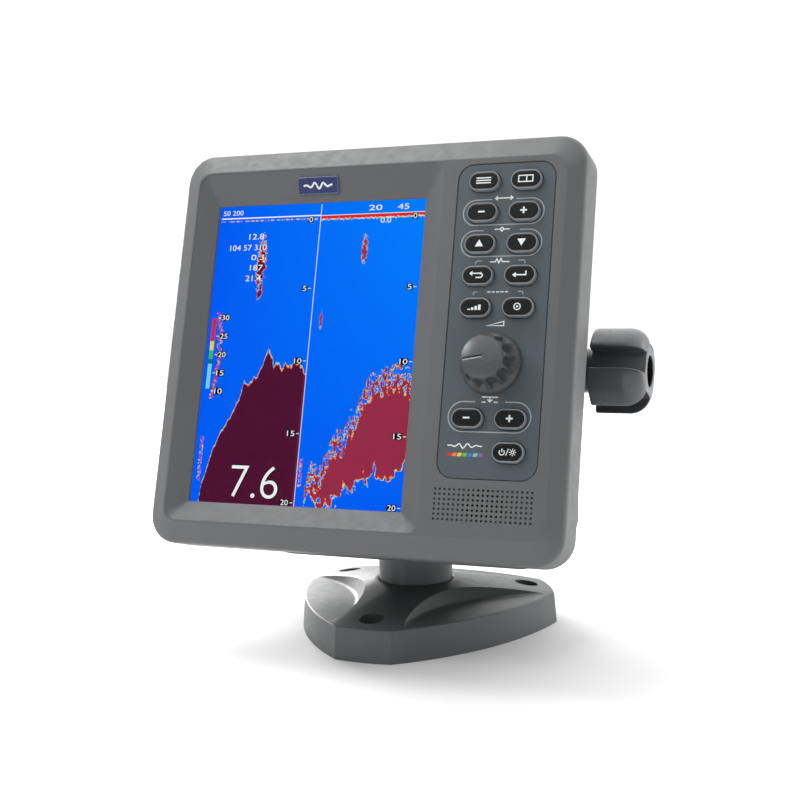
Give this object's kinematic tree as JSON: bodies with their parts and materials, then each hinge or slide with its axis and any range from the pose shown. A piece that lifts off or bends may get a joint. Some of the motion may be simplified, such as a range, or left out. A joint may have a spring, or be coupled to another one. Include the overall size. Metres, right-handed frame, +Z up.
{
  "type": "fish finder",
  "caption": "Marine fish finder: colour screen and push keys in a square housing that tilts in a yoke, on a three-cornered swivel base.",
  "frame": {"origin": "centre of the circle of fixing holes, on the underside of the base", "axes": "+Z up along the stem, -Y towards the user, +X to the right of the screen"},
  "size_m": [0.24, 0.1491, 0.2363],
  "materials": {
    "housing": "fine satin grain",
    "base_plastic": "fine satin grain",
    "yoke_metal": "satin powder coat",
    "knob_plastic": "satin",
    "gain_plastic": "satin",
    "key_rubber": "black top on a pale grey body",
    "keypad_film": "satin printed film",
    "silicone": "matt",
    "window": "clear",
    "picture": "glowing colour picture",
    "diffuser": "white",
    "badge": "printed plate",
    "rubber": "matt",
    "nylon": "natural",
    "steel": "plated",
    "brass": "turned",
    "circuit_board": "solder mask",
    "chips": "moulded",
    "winding": "wound tape",
    "can": "sleeved",
    "heat_sink": "black anodised",
    "socket": "satin",
    "ribbon": "flat cable"
  },
  "bodies": {
    "base": {"base_shell": "base_plastic", "swivel_bush": "nylon"},
    "yoke_arm": {"yoke": "yoke_metal", "swivel_bolt": "steel", "swivel_washer": "steel", "swivel_nut": "steel"},
    "display_unit": {"front_bezel": "housing", "rear_case": "housing", "case_seal": "rubber", "cover_glass": "window", "lcd_panel": "picture", "lcd_tray": "steel", "backlight": "diffuser", "lcd_bracket": "steel", "lcd_screws": "steel", "badge_plate": "badge", "keypad_sheet": "keypad_film", "keypad_mat": "silicone", "key_board": "circuit_board", "gain_potentiometer": "steel", "gain_nut": "steel", "main_board": "circuit_board", "main_board_parts": "chips", "board_posts": "brass", "board_screws": "steel", "sonar_board": "circuit_board", "sonar_transformer": "winding", "power_capacitors": "can", "heat_sink": "heat_sink", "speaker": "chips", "power_socket": "socket", "sonar_socket": "socket", "data_socket": "socket", "socket_nuts": "steel", "earth_terminal": "steel", "case_screws": "steel", "pivot_inserts": "brass", "friction_discs": "rubber", "ribbon_cables": "ribbon"},
    "gain_dial": {"gain_knob": "gain_plastic", "gain_shaft": "steel"},
    "left_clamp_washer": {"left_knob_washer": "steel"},
    "left_clamp_knob": {"left_knob": "knob_plastic", "left_knob_stud": "steel"},
    "right_clamp_washer": {"right_knob_washer": "steel"},
    "right_clamp_knob": {"right_knob": "knob_plastic", "right_knob_stud": "steel"},
    "key_menu_cap": {"key_menu": "key_rubber"},
    "key_mode_cap": {"key_mode": "key_rubber"},
    "key_shift_minus_cap": {"key_shift_minus": "key_rubber"},
    "key_shift_plus_cap": {"key_shift_plus": "key_rubber"},
    "key_marker_up_cap": {"key_marker_up": "key_rubber"},
    "key_marker_down_cap": {"key_marker_down": "key_rubber"},
    "key_escape_cap": {"key_escape": "key_rubber"},
    "key_enter_cap": {"key_enter": "key_rubber"},
    "key_signal_level_cap": {"key_signal_level": "key_rubber"},
    "key_auto_cap": {"key_auto": "key_rubber"},
    "key_range_minus_cap": {"key_range_minus": "key_rubber"},
    "key_range_plus_cap": {"key_range_plus": "key_rubber"},
    "key_power_cap": {"key_power": "key_rubber"}
  },
  "joints": [
    {"name": "base_swivel", "type": "hinge", "parent": "base", "child": "yoke_arm", "pos_m": [0, 0, 0.03], "axis": [0, 0, 1], "range_deg": [-90, 90]},
    {"name": "head_tilt", "type": "hinge", "parent": "yoke_arm", "child": "display_unit", "pos_m": [0, 0, 0.1295], "axis": [1, 0, 0], "range_deg": [-35, 23]},
    {"name": "gain_turn", "type": "hinge", "parent": "display_unit", "child": "gain_dial", "pos_m": [0.0644, -0.07521, 0.13931], "axis": [0, -0.9613, 0.2756], "range_deg": [-240, 60]},
    {"name": "left_knob_draw", "type": "slide", "parent": "display_unit", "child": "left_clamp_washer", "axis": [-1, 0, 0], "range_m": [0, 0.0026]},
    {"name": "left_knob_turn", "type": "hinge", "parent": "left_clamp_washer", "child": "left_clamp_knob", "pos_m": [0, 0, 0.1295], "axis": [-1, 0, 0], "range_deg": [0, 720]},
    {"name": "right_knob_draw", "type": "slide", "parent": "display_unit", "child": "right_clamp_washer", "axis": [1, 0, 0], "range_m": [0, 0.0026]},
    {"name": "right_knob_turn", "type": "hinge", "parent": "right_clamp_washer", "child": "right_clamp_knob", "pos_m": [0, 0, 0.1295], "axis": [1, 0, 0], "range_deg": [0, 720]},
    {"name": "press_menu", "type": "slide", "parent": "display_unit", "child": "key_menu_cap", "axis": [0, 0.9613, -0.2756], "range_m": [0, 0.0008], "stiffness_N_per_m": 1500, "springref_m": -0.0004},
    {"name": "press_mode", "type": "slide", "parent": "display_unit", "child": "key_mode_cap", "axis": [0, 0.9613, -0.2756], "range_m": [0, 0.0008], "stiffness_N_per_m": 1500, "springref_m": -0.0004},
    {"name": "press_shift_minus", "type": "slide", "parent": "display_unit", "child": "key_shift_minus_cap", "axis": [0, 0.9613, -0.2756], "range_m": [0, 0.0008], "stiffness_N_per_m": 1500, "springref_m": -0.0004},
    {"name": "press_shift_plus", "type": "slide", "parent": "display_unit", "child": "key_shift_plus_cap", "axis": [0, 0.9613, -0.2756], "range_m": [0, 0.0008], "stiffness_N_per_m": 1500, "springref_m": -0.0004},
    {"name": "press_marker_up", "type": "slide", "parent": "display_unit", "child": "key_marker_up_cap", "axis": [0, 0.9613, -0.2756], "range_m": [0, 0.0008], "stiffness_N_per_m": 1500, "springref_m": -0.0004},
    {"name": "press_marker_down", "type": "slide", "parent": "display_unit", "child": "key_marker_down_cap", "axis": [0, 0.9613, -0.2756], "range_m": [0, 0.0008], "stiffness_N_per_m": 1500, "springref_m": -0.0004},
    {"name": "press_escape", "type": "slide", "parent": "display_unit", "child": "key_escape_cap", "axis": [0, 0.9613, -0.2756], "range_m": [0, 0.0008], "stiffness_N_per_m": 1500, "springref_m": -0.0004},
    {"name": "press_enter", "type": "slide", "parent": "display_unit", "child": "key_enter_cap", "axis": [0, 0.9613, -0.2756], "range_m": [0, 0.0008], "stiffness_N_per_m": 1500, "springref_m": -0.0004},
    {"name": "press_signal_level", "type": "slide", "parent": "display_unit", "child": "key_signal_level_cap", "axis": [0, 0.9613, -0.2756], "range_m": [0, 0.0008], "stiffness_N_per_m": 1500, "springref_m": -0.0004},
    {"name": "press_auto", "type": "slide", "parent": "display_unit", "child": "key_auto_cap", "axis": [0, 0.9613, -0.2756], "range_m": [0, 0.0008], "stiffness_N_per_m": 1500, "springref_m": -0.0004},
    {"name": "press_range_minus", "type": "slide", "parent": "display_unit", "child": "key_range_minus_cap", "axis": [0, 0.9613, -0.2756], "range_m": [0, 0.0008], "stiffness_N_per_m": 1500, "springref_m": -0.0004},
    {"name": "press_range_plus", "type": "slide", "parent": "display_unit", "child": "key_range_plus_cap", "axis": [0, 0.9613, -0.2756], "range_m": [0, 0.0008], "stiffness_N_per_m": 1500, "springref_m": -0.0004},
    {"name": "press_power", "type": "slide", "parent": "display_unit", "child": "key_power_cap", "axis": [0, 0.9613, -0.2756], "range_m": [0, 0.0008], "stiffness_N_per_m": 1500, "springref_m": -0.0004}
  ],
  "couplings": [
    {"joint": "left_knob_draw", "follows": "left_knob_turn", "m_per_rad": 0.00019894},
    {"joint": "right_knob_draw", "follows": "right_knob_turn", "m_per_rad": 0.00019894}
  ]
}
